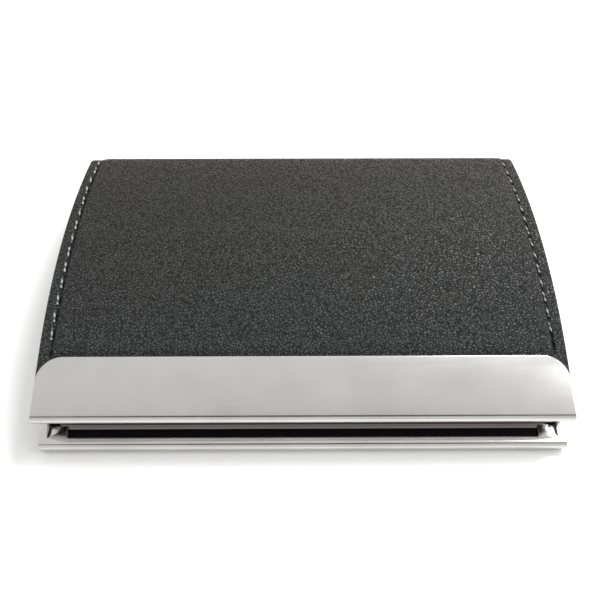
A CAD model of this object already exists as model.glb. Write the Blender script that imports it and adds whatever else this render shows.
import random
from math import atan2, cos, floor, pi, radians, sin, sqrt

import bpy
from mathutils import Matrix, Vector
from mathutils.kdtree import KDTree


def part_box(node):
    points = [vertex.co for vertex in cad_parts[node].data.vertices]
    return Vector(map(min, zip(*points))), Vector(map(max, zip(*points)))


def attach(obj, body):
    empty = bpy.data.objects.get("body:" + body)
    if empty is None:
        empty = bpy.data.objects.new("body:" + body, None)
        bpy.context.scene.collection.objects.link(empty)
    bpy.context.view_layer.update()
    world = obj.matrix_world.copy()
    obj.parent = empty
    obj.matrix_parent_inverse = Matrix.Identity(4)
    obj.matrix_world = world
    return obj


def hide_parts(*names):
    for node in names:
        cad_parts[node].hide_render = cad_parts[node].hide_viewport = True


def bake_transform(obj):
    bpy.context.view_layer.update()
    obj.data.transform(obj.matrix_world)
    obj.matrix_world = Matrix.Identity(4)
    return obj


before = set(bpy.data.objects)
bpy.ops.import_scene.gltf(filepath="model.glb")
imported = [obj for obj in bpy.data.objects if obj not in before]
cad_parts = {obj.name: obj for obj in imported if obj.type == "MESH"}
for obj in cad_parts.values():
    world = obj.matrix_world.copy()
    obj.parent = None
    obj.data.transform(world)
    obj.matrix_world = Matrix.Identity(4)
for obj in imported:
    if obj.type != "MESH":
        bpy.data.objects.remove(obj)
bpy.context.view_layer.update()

random.seed(7)

# Sizes in metres.
mm = 0.001

# The lid's outline, seen from the side: a flat strip under the steel band, one shallow arc,
# and a soft roll down over the spine. It is the outer face of the band carried on.
strip_start = (-29.13 * mm, 8.65 * mm)
strip_slope = radians(17.0)
strip_length = 10.4 * mm
lid_radius = 106.0 * mm
steel = 0.4 * mm
hem_radius = 1.2 * mm
roll_radius = 4.0 * mm + steel
foot_radius = 1.5 * mm + steel

half_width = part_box("lid_leather")[1][0]
back_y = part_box("spine_leather")[1][1]
seam_x = half_width - 2.2 * mm
stitch_pitch = {-1: 3.45 * mm, 1: 3.05 * mm}
first_hole = {-1: 10.9 * mm, 1: 12.45 * mm}
side_names = {-1: "left", 1: "right"}
# How much shorter each stitch is than its pitch.
stitch_gap = 0.45 * mm

# Faces that meet at less than this are shaded as one.
smooth_angle = radians(35)
# Edges of the CAD's own parts that turn by more than this are eased.
sharp_angle = radians(30)

arc_centre = (
    strip_start[0] + strip_length * cos(strip_slope) + lid_radius * sin(strip_slope),
    strip_start[1] + strip_length * sin(strip_slope) - lid_radius * cos(strip_slope),
)
roll_y = back_y + steel - roll_radius
roll_z = arc_centre[1] + sqrt((lid_radius - roll_radius) ** 2 - (roll_y - arc_centre[0]) ** 2)
hinge_lean = atan2(roll_y - arc_centre[0], roll_z - arc_centre[1])
lid_length = strip_length + lid_radius * (strip_slope + hinge_lean)
roll_length = roll_radius * (pi / 2 - hinge_lean)
spine_length = roll_z - foot_radius + steel
foot_centre = (back_y + steel - foot_radius, foot_radius - steel)


def path(s, depth):
    """The place s along the hide and depth under its line, and the way it leans there."""
    if s <= strip_length:
        y, z = s, -depth
        return (
            strip_start[0] + y * cos(strip_slope) - z * sin(strip_slope),
            strip_start[1] + y * sin(strip_slope) + z * cos(strip_slope),
            -strip_slope,
        )
    if s <= lid_length:
        lean = (s - strip_length) / lid_radius - strip_slope
        centre, radius = arc_centre, lid_radius
    elif s <= lid_length + roll_length:
        lean = hinge_lean + (s - lid_length) / roll_radius
        centre, radius = (roll_y, roll_z), roll_radius
    elif s <= lid_length + roll_length + spine_length:
        return (back_y + steel - depth, roll_z - (s - lid_length - roll_length), pi / 2)
    else:
        lean = pi / 2 + (s - lid_length - roll_length - spine_length) / foot_radius
        centre, radius = foot_centre, foot_radius
    reach = radius - depth
    return (centre[0] + reach * sin(lean), centre[1] + reach * cos(lean), lean)


# ---- Modelling helpers ----

def activate(obj):
    bpy.ops.object.select_all(action="DESELECT")
    obj.select_set(True)
    bpy.context.view_layer.objects.active = obj


def edit(obj):
    activate(obj)
    bpy.ops.object.mode_set(mode="EDIT")
    bpy.ops.mesh.select_mode(type="VERT")


def done():
    bpy.ops.object.mode_set(mode="OBJECT")


def pick(obj, test):
    """In edit mode, select just the corners that pass the test."""
    bpy.ops.mesh.select_all(action="DESELECT")
    bpy.ops.object.mode_set(mode="OBJECT")
    for corner in obj.data.vertices:
        corner.select = bool(test(corner.co))
    bpy.ops.object.mode_set(mode="EDIT")


def finish_mesh(obj, name):
    """Bring the piece's place into its mesh, turn its faces outwards and smooth it."""
    obj.name = name
    activate(obj)
    bpy.ops.object.transform_apply(location=True, rotation=True, scale=True)
    bpy.ops.object.mode_set(mode="EDIT")
    bpy.ops.mesh.select_all(action="SELECT")
    bpy.ops.mesh.remove_doubles(threshold=0.002 * mm)
    bpy.ops.mesh.normals_make_consistent(inside=False)
    done()
    bpy.ops.object.shade_smooth_by_angle(angle=smooth_angle)
    return obj


def apply_modifier(obj, kind, **settings):
    activate(obj)
    modifier = obj.modifiers.new(kind, kind)
    for key, value in settings.items():
        setattr(modifier, key, value)
    bpy.ops.object.modifier_apply(modifier=modifier.name)


def eased_copy(node, name, ease):
    """A copy of a machined or moulded part with its sharp edges eased."""
    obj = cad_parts[node].copy()
    obj.data = obj.data.copy()
    obj.parent = None
    bpy.context.collection.objects.link(obj)
    obj.matrix_world = Matrix.Identity(4)
    obj.data.materials.clear()
    edit(obj)
    bpy.ops.mesh.select_all(action="SELECT")
    bpy.ops.mesh.remove_doubles(threshold=0.001 * mm)
    bpy.ops.mesh.customdata_custom_splitnormals_clear()
    bpy.ops.mesh.dissolve_limited(angle_limit=radians(1))
    done()
    apply_modifier(
        obj, "BEVEL", width=ease, segments=2, limit_method="ANGLE", angle_limit=sharp_angle,
        use_clamp_overlap=True, harden_normals=False,
    )
    obj.name = name
    bpy.ops.object.shade_smooth_by_angle(angle=smooth_angle)
    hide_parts(node)
    return obj


def join(objects, name):
    bpy.ops.object.select_all(action="DESELECT")
    for obj in objects:
        obj.select_set(True)
    bpy.context.view_layer.objects.active = objects[0]
    bpy.ops.object.join()
    objects[0].name = name
    return objects[0]


# ---- Material helpers ----

def to_linear(code):
    parts = [int(code[i:i + 2], 16) / 255 for i in (1, 3, 5)]
    return [p / 12.92 if p <= 0.04045 else ((p + 0.055) / 1.055) ** 2.4 for p in parts] + [1.0]


def add_node(tree, kind, settings=None, **inputs):
    """Add a node: settings are its own choices, and inputs are values or output sockets,
    named by socket or numbered as i0, i1 and so on."""
    node = tree.nodes.new(kind)
    for key, value in (settings or {}).items():
        setattr(node, key, value)
    for key, value in inputs.items():
        numbered = key[0] == "i" and key[1:].isdigit()
        socket = node.inputs[int(key[1:]) if numbered else key.replace("_", " ")]
        if isinstance(value, bpy.types.NodeSocket):
            tree.links.new(value, socket)
        else:
            socket.default_value = value
    return node


def new_material(name):
    material = bpy.data.materials.new(name)
    material.use_nodes = True
    tree = material.node_tree
    return material, tree, tree.nodes["Principled BSDF"]


def wear(obj, material):
    obj.data.materials.clear()
    obj.data.materials.append(material)


# ---- Materials ----

# A wave texture of scale 1 along X or Y repeats about every 0.314 m.
band_period = 0.314


def pressed_leather():
    """Coated hide pressed with a fine pebble grain. The grain breaks its soft sheen into
    small lights, and the needle holes of the two side seams show as dark slots."""
    material, tree, shader = new_material("pressed_pebble_leather")
    shader.inputs["IOR"].default_value = 1.5
    shader.inputs["Specular IOR Level"].default_value = 0.45
    place = add_node(tree, "ShaderNodeTexCoord").outputs["Object"]
    # The pebbles are 0.54 mm across, and their outlines wander by up to 0.5 mm.
    drift = add_node(tree, "ShaderNodeTexNoise", Vector=place, Scale=1 / (1.1 * mm), Detail=2.0)
    bent = add_node(
        tree, "ShaderNodeVectorMath", {"operation": "MULTIPLY_ADD"},
        i0=drift.outputs["Color"], i1=(0.5 * mm,) * 3, i2=place,
    )
    pebbles = add_node(
        tree, "ShaderNodeTexVoronoi", {"feature": "DISTANCE_TO_EDGE"},
        Vector=bent.outputs["Vector"], Scale=1 / (0.54 * mm), Randomness=1.0,
    )
    gaps = add_node(
        tree, "ShaderNodeMapRange", {"interpolation_type": "SMOOTHSTEP"},
        Value=pebbles.outputs["Distance"], i1=0.0, i2=0.24,
    )
    creasing = add_node(tree, "ShaderNodeTexNoise", Vector=place, Scale=1 / (0.5 * mm), Detail=2.0)
    broken = add_node(
        tree, "ShaderNodeMapRange", {"interpolation_type": "SMOOTHSTEP"},
        Value=creasing.outputs["Fac"], i1=0.36, i2=0.6, i3=0.3, i4=1.15,
    )
    valley = add_node(
        tree, "ShaderNodeMath", {"operation": "MULTIPLY"},
        i0=gaps.outputs["Result"], i1=broken.outputs["Result"],
    )
    fine = add_node(tree, "ShaderNodeTexNoise", Vector=place, Scale=1 / (0.2 * mm), Detail=3.0)
    broad = add_node(tree, "ShaderNodeTexNoise", Vector=place, Scale=1 / (14 * mm), Detail=3.0)
    swell = add_node(
        tree, "ShaderNodeMath", {"operation": "MULTIPLY_ADD"},
        i0=fine.outputs["Fac"], i1=0.5, i2=valley.outputs["Value"],
    )
    # The seams' own map: U in mm from the middle, V counting the needle holes.
    seams = add_node(tree, "ShaderNodeUVMap", {"uv_map": "seams"})
    parts = add_node(tree, "ShaderNodeSeparateXYZ", Vector=seams.outputs["UV"])
    along = add_node(tree, "ShaderNodeMath", {"operation": "PINGPONG"}, i0=parts.outputs["Y"], i1=0.5)
    from_hole = add_node(
        tree, "ShaderNodeCombineXYZ", X=along.outputs["Value"], Y=parts.outputs["X"]
    )
    # Half a slot is about 0.68 mm long, at a pitch of 3.2 mm, and 0.33 mm wide.
    slot_middle = 45.17
    slot_half_width = 0.33
    slot_sized = add_node(
        tree, "ShaderNodeVectorMath", {"operation": "MULTIPLY_ADD"},
        i0=from_hole.outputs["Vector"],
        i1=(3.2 / 0.68, 1 / slot_half_width, 0),
        i2=(0, -slot_middle / slot_half_width, 0),
    )
    reach = add_node(
        tree, "ShaderNodeVectorMath", {"operation": "LENGTH"}, i0=slot_sized.outputs["Vector"]
    )
    unpierced = add_node(tree, "ShaderNodeMapRange", Value=reach.outputs["Value"], i1=0.7, i2=1.15)
    height = add_node(
        tree, "ShaderNodeMath", {"operation": "MULTIPLY_ADD"},
        i0=unpierced.outputs["Result"], i1=4.0, i2=swell.outputs["Value"],
    )
    bump = add_node(tree, "ShaderNodeBump", Strength=1.0, Distance=0.12 * mm, Height=height.outputs["Value"])
    # The dye is a touch browner towards the back edge, and drifts a little everywhere.
    spot = add_node(tree, "ShaderNodeSeparateXYZ", Vector=place)
    drifted = add_node(
        tree, "ShaderNodeMath", {"operation": "MULTIPLY_ADD"},
        i0=broad.outputs["Fac"], i1=40 * mm, i2=spot.outputs["Y"],
    )
    brown = add_node(tree, "ShaderNodeMapRange", Value=drifted.outputs["Value"], i1=-8 * mm, i2=48 * mm)
    tint = add_node(
        tree, "ShaderNodeMix", {"data_type": "RGBA"},
        i0=brown.outputs["Result"], i6=to_linear("#393e3d"), i7=to_linear("#2b2821"),
    )
    shade = add_node(
        tree, "ShaderNodeMix", {"data_type": "RGBA"},
        i0=valley.outputs["Value"], i6=to_linear("#060606"), i7=tint.outputs[2],
    )
    pricked = add_node(
        tree, "ShaderNodeMix", {"data_type": "RGBA"},
        i0=unpierced.outputs["Result"], i6=to_linear("#020203"), i7=shade.outputs[2],
    )
    rubbed = add_node(
        tree, "ShaderNodeMath", {"operation": "MULTIPLY"},
        i0=valley.outputs["Value"], i1=unpierced.outputs["Result"],
    )
    gloss = add_node(tree, "ShaderNodeMapRange", Value=rubbed.outputs["Value"], i3=0.95, i4=0.28)
    tree.links.new(pricked.outputs[2], shader.inputs["Base Color"])
    tree.links.new(gloss.outputs["Result"], shader.inputs["Roughness"])
    tree.links.new(bump.outputs["Normal"], shader.inputs["Normal"])
    return material


def satin_steel():
    """Cold rolled stainless sheet with a fine bead finish: pale, even and softly mirrored.
    The beads' dents are under 0.05 mm and are drawn at 0.12 mm, so that they can show."""
    material, tree, shader = new_material("bead_finished_stainless")
    shader.inputs["Metallic"].default_value = 1.0
    place = add_node(tree, "ShaderNodeTexCoord").outputs["Object"]
    stretched = add_node(tree, "ShaderNodeMapping", Vector=place, Scale=(0.12, 1.0, 1.0))
    rolled = add_node(
        tree, "ShaderNodeTexNoise", Vector=stretched.outputs["Vector"], Scale=1 / (0.35 * mm), Detail=3.0
    )
    cloudy = add_node(tree, "ShaderNodeTexNoise", Vector=place, Scale=1 / (9 * mm), Detail=2.0)
    grit = add_node(tree, "ShaderNodeTexNoise", Vector=place, Scale=1 / (0.12 * mm), Detail=2.0)
    tint = add_node(
        tree, "ShaderNodeMix", {"data_type": "RGBA"},
        i0=cloudy.outputs["Fac"], i6=to_linear("#bdbcb9"), i7=to_linear("#d3d2cf"),
    )
    dull = add_node(
        tree, "ShaderNodeMapRange", Value=rolled.outputs["Fac"], i1=0.3, i2=0.7, i3=0.2, i4=0.24
    )
    bump = add_node(tree, "ShaderNodeBump", Strength=0.08, Distance=0.01 * mm, Height=grit.outputs["Fac"])
    tree.links.new(tint.outputs[2], shader.inputs["Base Color"])
    tree.links.new(dull.outputs["Result"], shader.inputs["Roughness"])
    tree.links.new(bump.outputs["Normal"], shader.inputs["Normal"])
    return material


def sewing_thread():
    """Bonded polyester thread: two plies twisted together, light and dark in turn every
    1.4 mm along the seam, with a slight shine."""
    material, tree, shader = new_material("twisted_polyester_thread")
    shader.inputs["Roughness"].default_value = 0.45
    place = add_node(tree, "ShaderNodeTexCoord").outputs["Object"]
    plies = add_node(
        tree, "ShaderNodeTexWave", {"bands_direction": "DIAGONAL"},
        Vector=place, Scale=1 / (2.2 * mm), Distortion=1.0,
    )
    tint = add_node(
        tree, "ShaderNodeMix", {"data_type": "RGBA"},
        i0=plies.outputs["Fac"], i6=to_linear("#2c2d32"), i7=to_linear("#a6a8ac"),
    )
    bump = add_node(tree, "ShaderNodeBump", Strength=0.6, Distance=0.03 * mm, Height=plies.outputs["Fac"])
    tree.links.new(tint.outputs[2], shader.inputs["Base Color"])
    tree.links.new(bump.outputs["Normal"], shader.inputs["Normal"])
    return material


def speckled(name, dark, light, grain, roughness, depth, metallic=0.0, specular=0.5):
    """A plain sheet or moulding with a fine speckle: board, flock, lining, foam or plastic."""
    material, tree, shader = new_material(name)
    shader.inputs["Roughness"].default_value = roughness
    shader.inputs["Metallic"].default_value = metallic
    shader.inputs["Specular IOR Level"].default_value = specular
    place = add_node(tree, "ShaderNodeTexCoord").outputs["Object"]
    speckle = add_node(tree, "ShaderNodeTexNoise", Vector=place, Scale=1 / grain, Detail=4.0)
    tint = add_node(
        tree, "ShaderNodeMix", {"data_type": "RGBA"},
        i0=speckle.outputs["Fac"], i6=to_linear(dark), i7=to_linear(light),
    )
    bump = add_node(tree, "ShaderNodeBump", Strength=0.5, Distance=depth, Height=speckle.outputs["Fac"])
    tree.links.new(tint.outputs[2], shader.inputs["Base Color"])
    tree.links.new(bump.outputs["Normal"], shader.inputs["Normal"])
    return material


def woven_lining():
    """Rayon lining cloth in a plain weave, glued flat: nearly black, with a faint grid of
    threads. In such cloth they lie about 0.25 mm apart. They are drawn at 0.6 mm, to show."""
    material, tree, shader = new_material("plain_weave_rayon")
    shader.inputs["Roughness"].default_value = 0.7
    place = add_node(tree, "ShaderNodeTexCoord").outputs["Object"]
    thread_scale = band_period / (0.6 * mm)
    warp = add_node(
        tree, "ShaderNodeTexWave", {"bands_direction": "X"},
        Vector=place, Scale=thread_scale, Distortion=0.6,
    )
    weft = add_node(
        tree, "ShaderNodeTexWave", {"bands_direction": "Y"},
        Vector=place, Scale=thread_scale, Distortion=0.6,
    )
    grid = add_node(
        tree, "ShaderNodeMath", {"operation": "MULTIPLY"}, i0=warp.outputs["Fac"], i1=weft.outputs["Fac"]
    )
    tint = add_node(
        tree, "ShaderNodeMix", {"data_type": "RGBA"},
        i0=grid.outputs["Value"], i6=to_linear("#0d0d0e"), i7=to_linear("#303033"),
    )
    bump = add_node(tree, "ShaderNodeBump", Strength=0.7, Distance=0.06 * mm, Height=grid.outputs["Value"])
    tree.links.new(tint.outputs[2], shader.inputs["Base Color"])
    tree.links.new(bump.outputs["Normal"], shader.inputs["Normal"])
    return material


def moulded_bar():
    """Matt moulded ABS in warm grey. Its dark upper edge stands for the narrow shaded gap
    between the bar and the steel over it, which isn't modelled."""
    material = speckled("matt_moulded_abs", "#827d7a", "#918b88", 0.3 * mm, 0.5, 0.01 * mm)
    tree = material.node_tree
    shader = tree.nodes["Principled BSDF"]
    plain = shader.inputs["Base Color"].links[0].from_socket
    place = add_node(tree, "ShaderNodeTexCoord").outputs["Object"]
    spot = add_node(tree, "ShaderNodeSeparateXYZ", Vector=place)
    at_gap = add_node(
        tree, "ShaderNodeMapRange", Value=spot.outputs["Z"], i1=4.45 * mm, i2=4.6 * mm
    )
    tint = add_node(
        tree, "ShaderNodeMix", {"data_type": "RGBA"},
        i0=at_gap.outputs["Result"], i6=plain, i7=to_linear("#0a0a0a"),
    )
    tree.links.new(tint.outputs[2], shader.inputs["Base Color"])
    return material


leather = pressed_leather()
steel_finish = satin_steel()
thread = sewing_thread()
# Flocked card: black, dull and slightly hairy. The fibres swallow nearly all its shine.
flock = speckled("flocked_card", "#050505", "#101011", 0.25 * mm, 0.8, 0.04 * mm, specular=0.1)
bar_plastic = moulded_bar()
lining_cloth = woven_lining()
# Pressed board, dyed through: nearly black, dull and a little uneven.
board_stock = speckled("dyed_grey_board", "#161514", "#2a2826", 0.4 * mm, 0.85, 0.03 * mm)
# Open cell foam, cut from a block: charcoal, dull and finely pitted.
foam_sheet = speckled("open_cell_foam", "#1c1c1c", "#2e2e2e", 0.5 * mm, 0.9, 0.05 * mm)
# Nickel plate on a pressed magnet: pale, slightly warm and softly mirrored.
nickel = speckled(
    "nickel_plated_magnet", "#b9b6ae", "#c9c6be", 0.8 * mm, 0.2, 0.005 * mm, metallic=1.0
)


# ---- Leather ----

# Across the hide, from the middle out to its edge: how far each line stands over the margin,
# in mm.
section_heights = [
    (0.0, 0.42), (15.0, 0.42), (30.0, 0.42), (40.0, 0.42), (43.2, 0.42), (44.0, 0.38), (44.45, 0.28),
    (44.75, 0.1), (44.95, -0.2), (45.1, -0.38), (45.25, -0.2), (45.45, -0.06), (45.8, 0.0), (46.6, 0.02),
    (47.1, -0.02),
]
hide_thickness = 0.3 * mm
# The cut width: the flat of the hide and the two edges turned down round the board.
# Where the hide starts to turn down, in from the CAD's side, and each step it then takes out
# and down, in mm.
turn_inset = 0.35 * mm
turn_steps = ((0.2, 0.09), (0.12, 0.2), (0.03, 0.4), (0.0, 0.8), (-0.12, 0.12))


def hide_blank(y0, y1):
    """A flat strip of hide with a line of corners at each place the section bends, and its
    two sides turned down over the board's edge."""
    bpy.ops.object.select_all(action="DESELECT")
    bpy.ops.mesh.primitive_plane_add(size=1, location=(0, (y0 + y1) / 2, 0))
    obj = bpy.context.object
    obj.scale = (2 * half_width - 2 * turn_inset, y1 - y0, 1)
    bpy.ops.object.transform_apply(location=True, rotation=True, scale=True)
    edit(obj)
    for x in sorted({side * x * mm for x, _ in section_heights for side in (-1, 1)}):
        bpy.ops.mesh.select_all(action="SELECT")
        bpy.ops.mesh.bisect(plane_co=(x, 0, 0), plane_no=(1, 0, 0))
    for side in (-1, 1):
        edge = Vector((side * (half_width - turn_inset), 0, 0))
        for out, down in turn_steps:
            pick(obj, lambda co: abs(co.x - edge.x) < 1e-6 and abs(co.z - edge.z) < 1e-6)
            shift = Vector((side * out * mm, 0, -down * mm))
            bpy.ops.mesh.extrude_region_move(TRANSFORM_OT_translate={"value": shift})
            edge += shift
    done()
    return obj


def sweep_arc(centre, angle, steps):
    """Carry the open end that is selected round an arc, over the top and down the back."""
    bpy.ops.mesh.spin(steps=steps, angle=angle, center=(0, *centre), axis=(1, 0, 0), dupli=False)


def smooth(t):
    """A soft step from 0 to 1."""
    t = min(1.0, max(0.0, t))
    return t * t * (3 - 2 * t)


def padding_share(s):
    """How full the padding is along the hide: pressed flat under the band, full on the lid,
    thinner over the roll and gone at the foot."""
    over_roll = 1 - 0.65 * smooth((s - lid_length + 1 * mm) / roll_length)
    at_foot = 1 - smooth((s - lid_length - roll_length - spine_length + 3 * mm) / (2.5 * mm))
    return smooth((s - strip_length) / (1.3 * mm)) * over_roll * at_foot


def seam_share(s):
    """How deep the seams' grooves are along the hide: full from just behind the band on."""
    return smooth((s - strip_length + 0.2 * mm) / (0.8 * mm))


def along_hide(obj, stop, count=6000):
    """How far along the hide each corner lies."""
    tree = KDTree(count)
    for i in range(count):
        tree.insert((0, *path(stop * i / count, steel)[:2]), i)
    tree.balance()
    return [tree.find((0, v.co.y, v.co.z))[1] * stop / count for v in obj.data.vertices]


def raise_section(obj, along):
    """Lift the padding and sink the seams by moving each line of corners along its normals."""
    levels = 12
    for x, height in section_heights:
        if height == 0:
            continue
        share = padding_share if height > 0 else seam_share
        line = {v.index: round(share(along[v.index]) * levels)
                for v in obj.data.vertices if abs(abs(v.co.x) - x * mm) < 1e-6}
        for level in sorted(set(line.values()) - {0}):
            bpy.ops.mesh.select_all(action="DESELECT")
            bpy.ops.object.mode_set(mode="OBJECT")
            for index, value in line.items():
                obj.data.vertices[index].select = value == level
            bpy.ops.object.mode_set(mode="EDIT")
            bpy.ops.transform.shrink_fatten(value=height * mm * level / levels)


def mark_seams(obj, along, last):
    """A UV map for the seams: U is how far out from the middle in mm, and V counts the
    needle holes along the side's own seam, stopping half a stitch past its ends."""
    layer = obj.data.uv_layers.new(name="seams")
    for loop in obj.data.loops:
        x = obj.data.vertices[loop.vertex_index].co.x
        side = 1 if x > 0 else -1
        holes = (along[loop.vertex_index] - first_hole[side]) / stitch_pitch[side]
        stop = floor((last - first_hole[side]) / stitch_pitch[side]) + 0.5
        layer.data[loop.index].uv = (abs(x) / mm, min(max(holes, -0.5), stop))


def flap_leather():
    """The hide from the steel band, over the lid and the back edge, and down the spine."""
    # The blank starts a little way inside the band and is drawn on from its far end.
    first = 2 * mm
    obj = hide_blank(-0.5 * mm, first)
    y0, z0, _ = path(0, steel)
    obj.rotation_euler.x = strip_slope
    obj.location = (0, y0, z0)
    bpy.ops.object.transform_apply(location=True, rotation=True, scale=True)
    edit(obj)
    ahead = Vector((0, cos(strip_slope), sin(strip_slope)))
    pick(obj, lambda co: abs((co - Vector((0, y0, z0))).dot(ahead) - first) < 0.01 * mm)
    for step in (strip_length - first - 1 * mm, 1 * mm):
        bpy.ops.mesh.extrude_region_move(TRANSFORM_OT_translate={"value": ahead * step})
    # Short steps just behind the band and before the fold, and longer ones between.
    easing = radians(1.0)
    fold = radians(1.6)
    sweep_arc(arc_centre, easing, steps=6)
    sweep_arc(arc_centre, strip_slope + hinge_lean - easing - fold, steps=42)
    sweep_arc(arc_centre, fold, steps=8)
    sweep_arc((roll_y, roll_z), pi / 2 - hinge_lean, steps=18)
    spine_steps = 8
    down = Vector((0, 0, -spine_length / spine_steps))
    for _ in range(spine_steps):
        bpy.ops.mesh.extrude_region_move(TRANSFORM_OT_translate={"value": down})
    sweep_arc(foot_centre, pi / 2, steps=6)
    bpy.ops.mesh.select_all(action="SELECT")
    bpy.ops.mesh.remove_doubles(threshold=0.001 * mm)
    bpy.ops.mesh.normals_make_consistent(inside=False)
    done()
    stop = lid_length + roll_length + spine_length
    along = along_hide(obj, stop + foot_radius * pi / 2)
    edit(obj)
    raise_section(obj, along)
    done()
    mark_seams(obj, along, stop)
    apply_modifier(obj, "SOLIDIFY", thickness=hide_thickness, offset=-1, use_even_offset=True)
    return finish_mesh(obj, "flap_leather")


def bottom_leather():
    """The hide under the board, from the spine's foot to the steel edge."""
    low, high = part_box("bottom_leather")
    obj = hide_blank(-high.y, -low.y)
    edit(obj)
    for x, height in section_heights:
        if height < 0:
            pick(obj, lambda co: abs(abs(co.x) - x * mm) < 1e-6)
            bpy.ops.transform.translate(value=(0, 0, height * mm))
    done()
    along = [high.y - 1 * mm + first_hole[1] + v.co.y for v in obj.data.vertices]
    mark_seams(obj, along, along[0])
    obj.rotation_euler.x = pi
    apply_modifier(obj, "SOLIDIFY", thickness=hide_thickness, offset=-1, use_even_offset=True)
    return finish_mesh(obj, "bottom_leather_skin")


# ---- Stitching ----

stitch_radius = 0.18 * mm
# Each step of a stitch's end: how far on it reaches, its size and how far it dips, in mm.
stitch_tip = ((0.26, 0.8, 0.04), (0.24, 0.45, 0.2))


def one_stitch(length, bend):
    """A single stitch along Y, over a surface bent to a radius. Its two ends narrow and
    dive into the hide."""
    straight = length - 1.0 * mm
    swing = straight / bend
    bpy.ops.object.select_all(action="DESELECT")
    bpy.ops.mesh.primitive_circle_add(
        vertices=8, radius=stitch_radius, fill_type="NGON", rotation=(pi / 2, 0, 0)
    )
    obj = bpy.context.object
    bpy.ops.object.transform_apply(location=True, rotation=True, scale=True)
    edit(obj)
    bpy.ops.mesh.select_all(action="SELECT")
    bpy.ops.transform.rotate(value=swing / 2, orient_axis="X", center_override=(0, 0, -bend))
    start = sum(v.co.y for v in obj.data.vertices)
    ahead = 1 if start < 0 else -1
    bpy.ops.mesh.spin(steps=3, angle=-ahead * swing, center=(0, 0, -bend), axis=(1, 0, 0), dupli=False)
    for end in (-1, 1):
        pick(obj, lambda co: co.y * end > straight / 2 - 0.12 * mm)
        for reach, size, dip in stitch_tip:
            bpy.ops.mesh.extrude_region_move(
                TRANSFORM_OT_translate={"value": (0, end * reach * mm, -dip * mm)}
            )
            bpy.ops.transform.resize(value=(size, 1, size))
    done()
    return finish_mesh(obj, "stitch")


def lay_stitch(pattern, place, lean, slant):
    """Copy the stitch to a place on the hide, leaning with it and slanted across the seam."""
    obj = pattern.copy()
    obj.data = pattern.data.copy()
    bpy.context.collection.objects.link(obj)
    tip = Matrix.Rotation(-lean, 4, "X")
    obj.data.transform(Matrix.Translation(place) @ tip @ Matrix.Rotation(slant, 4, "Z"))
    return obj


def side_stitching(side):
    """One side's seam on the flap: over the lid, the back edge and down the spine."""
    pitch = stitch_pitch[side]
    pattern = one_stitch(pitch - stitch_gap, lid_radius)
    bent_pattern = one_stitch(pitch - stitch_gap, roll_radius)
    end = lid_length + roll_length + spine_length
    stitches = []
    s = first_hole[side] + pitch / 2
    while s < end - pitch / 2:
        y, z, lean = path(s, steel + 0.03 * mm)
        slant = radians(6 + random.uniform(-2.5, 2.5))
        place = Vector((side * seam_x + random.uniform(-0.04, 0.04) * mm, y, z))
        on_roll = lid_length - 1 * mm < s < lid_length + roll_length + 1 * mm
        stitches.append(lay_stitch(bent_pattern if on_roll else pattern, place, lean, slant))
        s += pitch
    bpy.data.objects.remove(pattern)
    bpy.data.objects.remove(bent_pattern)
    return join(stitches, "side_stitching_" + side_names[side])


def bottom_stitching(side):
    """One side's seam under the case."""
    low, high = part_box("bottom_stitching_" + side_names[side])
    pitch = stitch_pitch[side]
    nearly_flat = 1.0
    pattern = one_stitch(pitch - stitch_gap, nearly_flat)
    stitches = []
    count = round((high.y - low.y) / pitch)
    for i in range(count):
        place = Vector((side * seam_x, low.y + (i + 0.5) * pitch, 0.2 * mm))
        stitches.append(lay_stitch(pattern, place, pi, radians(5)))
    bpy.data.objects.remove(pattern)
    return join(stitches, "underside_stitching_" + side_names[side])


# ---- Steel band ----

def steel_band():
    """The band folded from one strip: a flat top with two round corners, a full round nose
    and a return under the lid."""
    low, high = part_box("front_band")
    corner = 4.5 * mm
    return_length = 8.0 * mm
    edge_easing = 0.17 * mm
    bpy.ops.object.select_all(action="DESELECT")
    bpy.ops.mesh.primitive_plane_add(size=1, location=(0, strip_length / 2, 0))
    obj = bpy.context.object
    obj.scale = (high.x - low.x, strip_length, 1)
    bpy.ops.object.transform_apply(location=True, rotation=True, scale=True)
    edit(obj)
    pick(obj, lambda co: co.y > strip_length / 2)
    bpy.ops.mesh.bevel(offset=corner, segments=14, affect="VERTICES", offset_type="OFFSET")
    pick(obj, lambda co: co.y < 0.01 * mm)
    bpy.ops.mesh.spin(
        steps=14, angle=-pi, center=(0, 0, -hem_radius), axis=(1, 0, 0), dupli=False
    )
    bpy.ops.mesh.extrude_region_move(TRANSFORM_OT_translate={"value": (0, return_length, 0)})
    done()
    apply_modifier(obj, "SOLIDIFY", thickness=steel, offset=-1, use_even_offset=True)
    apply_modifier(
        obj, "BEVEL", width=edge_easing, segments=3, limit_method="ANGLE", angle_limit=radians(50)
    )
    obj.rotation_euler.x = strip_slope
    obj.location = (0, *strip_start)
    return finish_mesh(obj, "steel_front_band")


# ---- The pieces ----

flap = flap_leather()
wear(flap, leather)
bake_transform(flap)
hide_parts("lid_leather", "spine_leather")

underside = bottom_leather()
wear(underside, leather)
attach(underside, "base")
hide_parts("bottom_leather")

for side in (-1, 1):
    name = side_names[side]
    seam = side_stitching(side)
    wear(seam, thread)
    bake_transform(seam)
    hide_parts("lid_stitching_" + name, "spine_stitching_" + name)
    lower_seam = bottom_stitching(side)
    wear(lower_seam, thread)
    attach(lower_seam, "base")
    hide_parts("bottom_stitching_" + name)

band = steel_band()
wear(band, steel_finish)
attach(band, "lid")
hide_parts("front_band")

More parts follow.
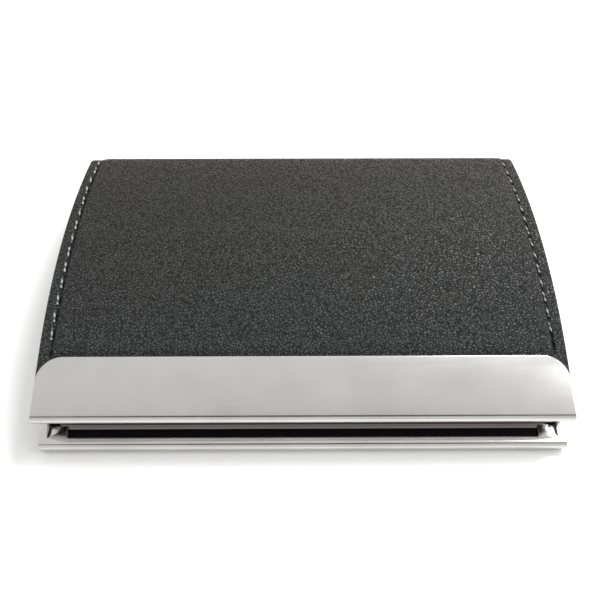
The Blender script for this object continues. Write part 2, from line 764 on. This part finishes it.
# Each CAD node that is kept with its edges eased: the new name, how wide the easing is, and
# its material, body and slot.
eased_parts = [
    ("card_tray", "pressed_card_tray", 0.07 * mm, steel_finish, "base", "satin_steel"),
    ("magnet_bar", "moulded_magnet_bar", 0.05 * mm, bar_plastic, "lid", "bar_plastic"),
    ("tray_liner", "flocked_liner", 0.05 * mm, flock, "base", "liner"),
    ("lid_lining", "lid_inner_lining", 0.08 * mm, lining_cloth, "lid", "lining_fabric"),
    ("spine_lining", "spine_inner_lining", 0.06 * mm, lining_cloth, "base", "lining_fabric"),
]
# The linings' cut sizes and the board each is glued to. The spine lining's length along its
# bend is an estimate.
for node, name, ease, finish, body, slot in eased_parts:
    piece = eased_copy(node, name, ease)
    wear(piece, finish)
    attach(piece, body)

for node, finish in (
    ("lid_board", board_stock), ("base_board", board_stock), ("spine_board", board_stock),
    ("lid_foam", foam_sheet), ("closing_magnets", nickel),
):
    wear(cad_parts[node], finish)

# ---- Camera, floor and light ----

def camera():
    """The view from above the front edge, fitted to the case's own corners and seams."""
    turned = radians(-0.23)
    down = radians(54.28)
    data = bpy.data.cameras.new("camera")
    data.sensor_width = 36
    data.lens = 33.6
    data.clip_start = 0.005
    obj = bpy.data.objects.new("camera", data)
    bpy.context.collection.objects.link(obj)
    turn = Matrix.Rotation(turned, 4, "Z")
    dip = Matrix.Rotation(pi / 2 - down, 4, "X")
    obj.matrix_world = Matrix.Translation((-0.71 * mm, -69.39 * mm, 98.52 * mm)) @ turn @ dip
    bpy.context.scene.camera = obj


camera()
bpy.ops.object.select_all(action="DESELECT")
bpy.ops.mesh.primitive_plane_add(size=3, location=(0, 0, -0.05 * mm))
ground = bpy.context.object
ground.name = "floor"
# White coated card: bright, even and without shine.
floor_paint, _, floor_shader = new_material("white_card")
floor_shader.inputs["Base Color"].default_value = to_linear("#fcfcfb")
floor_shader.inputs["Roughness"].default_value = 0.9
wear(ground, floor_paint)

world = bpy.data.worlds.new("studio")
bpy.context.scene.world = world
world.use_nodes = True
sky = world.node_tree
background = sky.nodes["Background"]
look = add_node(sky, "ShaderNodeTexCoord").outputs["Generated"]
# White all round, brighter behind the case on the right, and dark where the camera stands:
# the steel's bends mirror that dark patch as a thin line.
towards_back = add_node(
    sky, "ShaderNodeVectorMath", {"operation": "DOT_PRODUCT"}, i0=look, i1=(0.55, 0.7, 0.45)
)
back_light = add_node(
    sky, "ShaderNodeMapRange", {"interpolation_type": "SMOOTHSTEP"},
    Value=towards_back.outputs["Value"], i1=0.5, i2=0.95, i3=0.92, i4=1.2,
)
side_on = add_node(
    sky, "ShaderNodeVectorMath", {"operation": "MULTIPLY"}, i0=look, i1=(0.15, 1.0, 1.0)
)
level_look = add_node(sky, "ShaderNodeVectorMath", {"operation": "NORMALIZE"}, i0=side_on.outputs["Vector"])
towards_camera = add_node(
    sky, "ShaderNodeVectorMath", {"operation": "DOT_PRODUCT"},
    i0=level_look.outputs["Vector"], i1=(0.0, -0.53, 0.848),
)
camera_shade = add_node(
    sky, "ShaderNodeMapRange", {"interpolation_type": "SMOOTHSTEP"},
    Value=towards_camera.outputs["Value"], i1=0.972, i2=0.99, i3=1.0, i4=0.05,
)
sky_strength = add_node(
    sky, "ShaderNodeMath", {"operation": "MULTIPLY"},
    i0=back_light.outputs["Result"], i1=camera_shade.outputs["Result"],
)
background.inputs["Color"].default_value = (1, 1, 1, 1)
sky.links.new(sky_strength.outputs["Value"], background.inputs["Strength"])

lamp_distance = 0.62
# One softbox over the back right corner gives the hide its sheen, and a wider, lower one on
# the right lights the grain there.
for name, direction, energy, size in (
    ("back_right_softbox", (0.46, 0.47, 0.75), 3.0, 0.2),
    ("right_softbox", (0.84, 0.12, 0.52), 1.1, 0.36),
):
    lamp_data = bpy.data.lights.new(name, "AREA")
    lamp_data.energy = energy
    lamp_data.shape = "DISK"
    lamp_data.size = size
    lamp = bpy.data.objects.new(name, lamp_data)
    bpy.context.collection.objects.link(lamp)
    lamp.location = Vector(direction) * lamp_distance
    lamp.rotation_euler = lamp.location.to_track_quat("Z", "Y").to_euler()
bpy.context.scene.view_settings.view_transform = "Standard"
